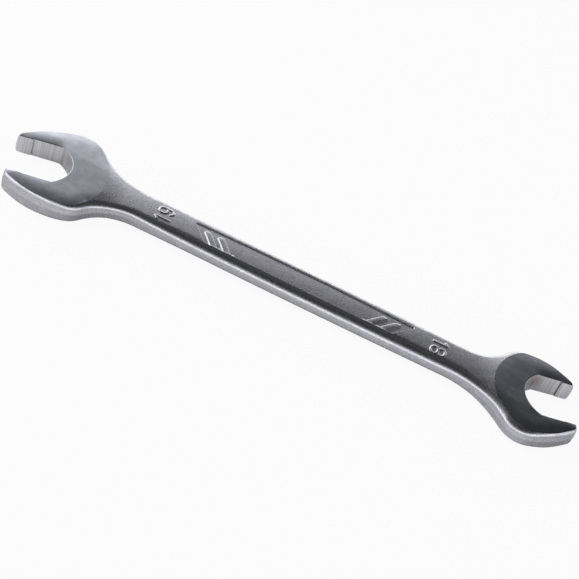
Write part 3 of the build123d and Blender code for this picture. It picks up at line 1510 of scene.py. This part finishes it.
class FinishNodes(Nodes):
    """Node tree of one material."""

    # Where a mix node has its colours, because sockets of its other types share their names.
    mixed_colours: tuple[int, int] = (6, 7)
    mixed_result: int = 2

    def __init__(self, name: str) -> None:
        """Starts a material with a principled shader.

        Args:
            name: Its name.
        """
        self.material = bpy.data.materials.new(name)
        self.material.use_nodes = True
        super().__init__(self.material.node_tree)
        self.shader = self.tree.nodes["Principled BSDF"]
        self.position = self.tree.nodes.new("ShaderNodeTexCoord").outputs["Object"]

    def noise(self, noise: Noise) -> bpy.types.NodeSocket:
        """Adds noise.

        Args:
            noise: Its grains, whose turn is about the vertical.

        Returns:
            Its value, about 0.5 on average.
        """
        mapping = self.add("ShaderNodeMapping", Vector=self.position,
                           Rotation=(0.0, 0.0, math.radians(noise.turn)),
                           Scale=[length * MM for length in noise.size])
        mapping.vector_type = "TEXTURE"
        return self.add("ShaderNodeTexNoise", Vector=mapping.outputs[0], Scale=1.0, Detail=noise.detail,
                        Roughness=noise.roughness).outputs[0]

    def pits(self, spacing: float, radius: float) -> bpy.types.NodeSocket:
        """Scattered round spots, 1 in their middles and 0 beyond their radius, in millimetres."""
        spots = self.add("ShaderNodeTexVoronoi", Vector=self.position, Scale=1 / (spacing * MM))
        return self.spread(spots.outputs["Distance"], (0.0, radius / spacing), (1.0, 0.0))

    def near(self, place: tuple[float, float, float], reach: tuple[float, float],
             upright: bool = False) -> bpy.types.NodeSocket:
        """1 near a place or near the upright line through it, fading to 0 further out.

        Args:
            place: The place, in millimetres, or the line's foot.
            reach: Where the fading starts and ends, in millimetres.
            upright: Whether it is a line.

        Returns:
            The value.
        """
        position = self.position
        if upright:
            position = self.vector("MULTIPLY", position, (1.0, 1.0, 0.0))["Vector"]
        distance = self.vector("DISTANCE", position, [length * MM for length in place])["Value"]
        return self.spread(distance, (reach[0] * MM, reach[1] * MM), (1.0, 0.0))

    def mix(self, share: bpy.types.NodeSocket, one: object, two: object) -> bpy.types.NodeSocket:
        """Colour between two colours.

        Args:
            share: How much of the second it has.
            one: The first, as a socket or a plain colour.
            two: The second.

        Returns:
            The colour.
        """
        node = self.add("ShaderNodeMix", Factor=share)
        node.data_type = "RGBA"
        for index, colour in zip(self.mixed_colours, (one, two)):
            self.put(node.inputs[index], (*colour, 1.0) if isinstance(colour, tuple) else colour)
        return node.outputs[self.mixed_result]

    def bump(self, height: bpy.types.NodeSocket, depth: float,
             below: bpy.types.NodeSocket | None = None) -> bpy.types.NodeSocket:
        """Adds a bump.

        Args:
            height: Its height, as a share of its depth.
            depth: Its depth, in millimetres.
            below: Another bump that it lies on.

        Returns:
            The bumped normal.
        """
        node = self.add("ShaderNodeBump", Height=height, Distance=depth * MM)
        if below is not None:
            self.put(node.inputs["Normal"], below)
        return node.outputs[0]

    def metal(self, colour: bpy.types.NodeSocket, roughness: bpy.types.NodeSocket,
              normal: bpy.types.NodeSocket) -> bpy.types.Material:
        """Ends the material as bare metal.

        Args:
            colour: Its colour.
            roughness: Its roughness.
            normal: Its bumped normal.

        Returns:
            The material.
        """
        self.shader.inputs["Metallic"].default_value = 1.0
        self.put(self.shader.inputs["Base Color"], colour)
        self.put(self.shader.inputs["Roughness"], roughness)
        self.put(self.shader.inputs["Normal"], normal)
        return self.material


Colour = tuple[float, float, float]


@dataclass(frozen=True)
class ForgedSatin:
    """Blasted and plated forging skin: sandy, a little wavy, with small dark pits."""

    light: Colour = (0.70, 0.69, 0.75)
    dark: Colour = (0.48, 0.475, 0.515)
    pit: Colour = (0.25, 0.245, 0.26)
    roughness: tuple[float, float] = (0.24, 0.32)
    grain: Noise = Noise((0.5,) * 3, detail=3.0, roughness=0.6)
    grain_range: tuple[float, float] = (0.3, 0.7)
    grain_depth: float = 0.055
    blotch: Noise = Noise((3.0,) * 3, detail=3.0)
    blotch_range: tuple[float, float] = (0.35, 0.65)
    blotch_strength: float = 0.45
    gloss_range: tuple[float, float] = (0.3, 0.7)
    wave: Noise = Noise((5.0,) * 3, detail=1.0)
    wave_depth: float = 0.03
    pit_spacing: float = 1.7
    pit_radius: float = 0.13

    def make(self) -> bpy.types.Material:
        """Makes the material.

        Returns:
            The material.
        """
        nodes = FinishNodes("forged_satin")
        grain, blotch, wave = (nodes.noise(noise) for noise in (self.grain, self.blotch, self.wave))
        pits = nodes.pits(self.pit_spacing, self.pit_radius)
        tone = nodes.mix(nodes.spread(grain, self.grain_range), self.dark, self.light)
        blotched = nodes.spread(blotch, self.blotch_range, (0.0, self.blotch_strength))
        colour = nodes.mix(pits, nodes.mix(blotched, tone, self.dark), self.pit)
        rough = nodes.spread(blotch, self.gloss_range, self.roughness)
        normal = nodes.bump(grain, self.grain_depth, nodes.bump(wave, self.wave_depth))
        return nodes.metal(colour, rough, normal)


@dataclass(frozen=True)
class GroundFace:
    """Fine ground and polished face: crossing hairline scratches, faint clouds and a few pits."""

    light: Colour = (0.61, 0.615, 0.68)
    dark: Colour = (0.53, 0.535, 0.595)
    pit: Colour = (0.16, 0.16, 0.17)
    roughness: tuple[float, float] = (0.13, 0.21)
    scratches: Noise = Noise((7.0, 0.11, 7.0), detail=3.0, turn=24.0)
    crossing: Noise = Noise((7.0, 0.11, 7.0), detail=3.0, turn=-12.0)
    scratch_range: tuple[float, float] = (0.45, 0.7)
    scratch_strength: float = 0.5
    scratch_depth: float = 0.006
    cloud: Noise = Noise((2.6,) * 3, detail=4.0, roughness=0.6)
    cloud_range: tuple[float, float] = (0.35, 0.65)
    gloss_range: tuple[float, float] = (0.35, 0.65)
    wave: Noise = Noise((9.0,) * 3, detail=1.0)
    wave_depth: float = 0.08
    pit_spacing: float = 3.4
    pit_radius: float = 0.16
    pit_depth: float = 0.02

    def make(self) -> bpy.types.Material:
        """Makes the material.

        Returns:
            The material.
        """
        nodes = FinishNodes("ground_face")
        scratches, crossing, cloud, wave = (
            nodes.noise(noise) for noise in (self.scratches, self.crossing, self.cloud, self.wave))
        pits = nodes.pits(self.pit_spacing, self.pit_radius)
        tone = nodes.mix(nodes.spread(cloud, self.cloud_range), self.dark, self.light)
        streaks = nodes.spread(scratches, self.scratch_range, (0.0, self.scratch_strength))
        colour = nodes.mix(pits, nodes.mix(streaks, tone, self.dark), self.pit)
        rough = nodes.spread(crossing, self.gloss_range, self.roughness)
        normal = nodes.bump(wave, self.wave_depth)
        normal = nodes.bump(scratches, self.scratch_depth, normal)
        normal = nodes.bump(crossing, self.scratch_depth, normal)
        normal = nodes.bump(nodes.spread(pits, (0.0, 1.0), (1.0, 0.0)), self.pit_depth, normal)
        return nodes.metal(colour, rough, normal)


@dataclass(frozen=True)
class BroachedFace:
    """Broached jaw face: tool lines in bands, painted shade in the grooves, a heat tint at one throat."""

    light: Colour = (0.96, 0.95, 0.99)
    dark: Colour = (0.57, 0.565, 0.60)
    tint: Colour = (0.50, 0.39, 0.33)
    # Painted shade: the dark colour laid along each groove, where its step falls in shade.
    painted_groove_shade: Colour = (0.42, 0.42, 0.437)
    roughness: tuple[float, float] = (0.28, 0.42)
    lines: Noise = Noise((0.30, 0.30, 60.0), detail=2.0)
    line_range: tuple[float, float] = (0.42, 0.60)
    line_strength: float = 0.85
    line_depth: float = 0.02
    bands: Noise = Noise((1.6, 1.6, 60.0), detail=2.0)
    band_range: tuple[float, float] = (0.3, 0.7)
    band_shares: tuple[float, float] = (0.45, 1.0)
    specks: Noise = Noise((0.3,) * 3, detail=3.0, roughness=0.6)
    speck_range: tuple[float, float] = (0.5, 0.75)
    speck_strength: float = 0.6
    speck_depth: float = 0.01
    tint_place: tuple[float, float, float] = (86.6, 8.6, 4.6)
    tint_reach: tuple[float, float] = (0.8, 3.4)
    tint_range: tuple[float, float] = (0.3, 0.6)
    tint_shares: tuple[float, float] = (0.4, 1.0)
    painted_groove_shade_reach: tuple[float, float] = (0.24, 0.42)

    def make(self) -> bpy.types.Material:
        """Makes the material.

        Returns:
            The material.
        """
        nodes = FinishNodes("broached_face")
        lines, bands, specks = (nodes.noise(noise) for noise in (self.lines, self.bands, self.specks))
        tone = nodes.mix(nodes.spread(bands, self.band_range, self.band_shares), self.dark, self.light)
        lined = nodes.spread(lines, self.line_range, (0.0, self.line_strength))
        specked = nodes.spread(specks, self.speck_range, (0.0, self.speck_strength))
        plain = nodes.mix(specked, nodes.mix(lined, tone, self.dark), self.dark)
        uneven = nodes.spread(specks, self.tint_range, self.tint_shares)
        patch = nodes.number("MULTIPLY", nodes.near(self.tint_place, self.tint_reach), uneven)
        colour = nodes.mix(patch, plain, self.tint)
        # Painted shade: darkens the face along the upright line through each groove, where shade falls on the
        # step.
        for groove in LARGE_HEAD.grooves() + SMALL_HEAD.grooves():
            groove_shade = nodes.near((groove.real, groove.imag, 0.0), self.painted_groove_shade_reach, upright=True)
            colour = nodes.mix(groove_shade, colour, self.painted_groove_shade)
        rough = nodes.spread(bands, self.band_range, self.roughness)
        normal = nodes.bump(specks, self.speck_depth, nodes.bump(lines, self.line_depth))
        return nodes.metal(colour, rough, normal)


@dataclass(frozen=True)
class Studio:
    """Pale floor, pale walls under a dark ceiling, two soft lamps and the camera.

    Its sizes are in metres, apart from the camera's, which are in millimetres.
    """

    floor_size: float = 20.0
    floor_gap: float = 0.00002
    floor_colour: Colour = (0.80, 0.80, 0.80)
    floor_glow: float = 0.92
    mirrored_glows: tuple[float, float] = (0.06, 0.95)
    glow_from: tuple[float, float] = (0.026, 0.05)
    sky_axis: tuple[float, float, float] = (0.0, -0.05, 0.92)
    sky_lean: float = 0.38
    lean_from: tuple[float, float] = (-0.4, 0.4)
    sky_stops: tuple[tuple[float, float], ...] = (
        (0.0, 2.0), (0.24, 1.9), (0.31, 1.05), (0.36, 0.68), (0.40, 0.50), (0.44, 0.45),
        (0.48, 0.28), (0.52, 0.16), (0.56, 0.10), (0.62, 0.045), (0.70, 0.015), (1.0, 0.01))
    fill_axis: tuple[float, float, float] = (0.0, 0.9, 0.436)
    fill_stops: tuple[tuple[float, float], ...] = (
        (0.05, 0.02), (0.25, 0.05), (0.5, 0.07), (0.7, 0.05), (0.85, 0.025), (1.0, 0.01))
    sky_tint: Colour = (0.97, 0.985, 1.0)
    lamp_distance: float = 1.2
    lamp_size: float = 0.8
    lamp_elevation: float = 42.0
    lamp_powers: tuple[float, float] = (7.5, 3.0)
    lens: float = 91.0
    sensor: float = 36.0
    camera_place: tuple[float, float, float] = (36.997, -371.812, 313.654)
    camera_azimuth: float = 5.573
    camera_elevation: float = 39.892
    camera_roll: float = 22.33

    def build(self) -> None:
        """Builds everything round the wrench."""
        self.lay_floor()
        self.light_walls()
        for side, power in zip((-1, 1), self.lamp_powers):
            self.hang_lamp(side, power)
        self.aim_camera()
        bpy.context.scene.view_settings.view_transform = "Standard"

    def lay_floor(self) -> None:
        """Lays the floor, just clear of the wrench's underside."""
        mesh = bpy.data.meshes.new("floor")
        half = self.floor_size / 2
        corners = [(-half, -half, 0), (half, -half, 0), (half, half, 0), (-half, half, 0)]
        mesh.from_pydata(corners, [], [(0, 1, 2, 3)])
        mesh.materials.append(self.paint_floor())
        floor = bpy.data.objects.new("floor", mesh)
        floor.location.z = -self.floor_gap
        bpy.context.scene.collection.objects.link(floor)

    def paint_floor(self) -> bpy.types.Material:
        """Makes a paint that keeps the shadow and otherwise shows as white, mirrored in the metal too.

        Returns:
            The material, whose mirrored glow is weak beside the wrench.
        """
        nodes = FinishNodes("pale_floor")
        nodes.tree.nodes.remove(nodes.shader)
        path = nodes.add("ShaderNodeLightPath").outputs
        bounced = nodes.number("MAXIMUM", path["Is Glossy Ray"], path["Is Transmission Ray"])
        seen = nodes.spread(path["Is Camera Ray"], (0.0, 1.0), (0.0, self.floor_glow))
        position = nodes.add("ShaderNodeNewGeometry").outputs["Position"]
        aside = nodes.number("ABSOLUTE", nodes.add("ShaderNodeSeparateXYZ", Vector=position).outputs["Y"])
        pool = nodes.spread(aside, self.glow_from, self.mirrored_glows)
        share = nodes.number("MAXIMUM", seen, nodes.number("MULTIPLY", bounced, pool))
        paint = nodes.add("ShaderNodeBsdfDiffuse", Color=(*self.floor_colour, 1.0))
        glow = nodes.add("ShaderNodeEmission", Color=(1.0, 1.0, 1.0, 1.0), Strength=1.0)
        surface = nodes.add("ShaderNodeMixShader", Fac=share)
        nodes.put(surface.inputs[1], paint.outputs[0])
        nodes.put(surface.inputs[2], glow.outputs[0])
        nodes.put(nodes.tree.nodes["Material Output"].inputs["Surface"], surface.outputs[0])
        return nodes.material

    def light_walls(self) -> None:
        """Makes the walls pale below and the ceiling dark, the far wall lower towards one side."""
        world = bpy.data.worlds.new("studio")
        world.use_nodes = True
        nodes = Nodes(world.node_tree)
        direction = nodes.add("ShaderNodeTexCoord").outputs["Generated"]
        parts = nodes.add("ShaderNodeSeparateXYZ", Vector=direction).outputs
        lean = nodes.spread(parts["Y"], self.lean_from, (0.0, self.sky_lean))
        upwards = nodes.vector("DOT_PRODUCT", direction, self.sky_axis)["Value"]
        height = nodes.number("MULTIPLY_ADD", parts["X"], lean, upwards)
        outwards = nodes.vector("DOT_PRODUCT", direction, self.fill_axis)["Value"]
        light = nodes.vector("ADD", self.ramp(nodes, height, self.sky_stops),
                             self.ramp(nodes, outwards, self.fill_stops))["Vector"]
        nodes.put(nodes.tree.nodes["Background"].inputs["Color"], light)
        bpy.context.scene.world = world

    def ramp(self, nodes: Nodes, value: bpy.types.NodeSocket,
             stops: tuple[tuple[float, float], ...]) -> bpy.types.NodeSocket:
        """Light that changes with a value.

        Args:
            nodes: The world's nodes.
            value: The value, from 0 to 1.
            stops: Some values and the light there.

        Returns:
            The light's colour.
        """
        ramp = nodes.add("ShaderNodeValToRGB", Fac=value)
        elements = ramp.color_ramp.elements
        for position, _ in stops[1:-1]:
            elements.new(position)
        for element, (position, light) in zip(elements, stops):
            element.position = position
            element.color = (*(light * tint for tint in self.sky_tint), 1.0)
        return ramp.outputs["Color"]

    def hang_lamp(self, side: int, power: float) -> None:
        """Hangs a soft lamp beyond one end of the wrench.

        Args:
            side: -1 for the large head's end, or 1.
            power: Its power, in watts.
        """
        data = bpy.data.lights.new("soft_lamp", "AREA")
        data.size = self.lamp_size
        data.energy = power
        lamp = bpy.data.objects.new("soft_lamp", data)
        lamp.visible_glossy = False
        elevation = math.radians(self.lamp_elevation)
        lamp.location = Vector((side * math.cos(elevation), 0.0, math.sin(elevation))) * self.lamp_distance
        lamp.rotation_euler = lamp.location.to_track_quat("Z", "Y").to_euler()
        bpy.context.scene.collection.objects.link(lamp)

    def aim_camera(self) -> None:
        """Puts the camera where the photograph was taken from."""
        data = bpy.data.cameras.new("camera")
        data.sensor_width = self.sensor
        data.lens = self.lens
        data.clip_start = MM
        camera = bpy.data.objects.new("camera", data)
        camera.location = Vector(self.camera_place) * MM
        angles = (self.camera_azimuth, RIGHT_ANGLE - self.camera_elevation, self.camera_roll)
        azimuth, down, roll = (math.radians(angle) for angle in angles)
        turn = Euler((down, 0.0, azimuth)).to_matrix() @ Euler((0.0, 0.0, roll)).to_matrix()
        camera.rotation_euler = turn.to_euler()
        bpy.context.scene.collection.objects.link(camera)
        bpy.context.scene.camera = camera


def main() -> None:
    """Builds the wrench and its studio."""
    logging.basicConfig(level=logging.INFO, format="%(name)s: %(message)s")
    low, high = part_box(NODE)
    maker = WrenchMesh(Forging(head_thickness=(high.z - low.z) / MM))
    piece = maker.build()
    for finish in (ForgedSatin(), GroundFace(), BroachedFace()):
        piece.data.materials.append(finish.make())
    maker.cut_openings(piece)
    maker.shade(piece)
    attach(piece, BODY)
    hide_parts(NODE)
    log.info("%s: %d faces, %d finishes", piece.name, len(piece.data.polygons), len(piece.data.materials))
    Studio().build()
    log.info("studio: floor, walls, two lamps and camera")


if __name__ == "__main__":
    main()
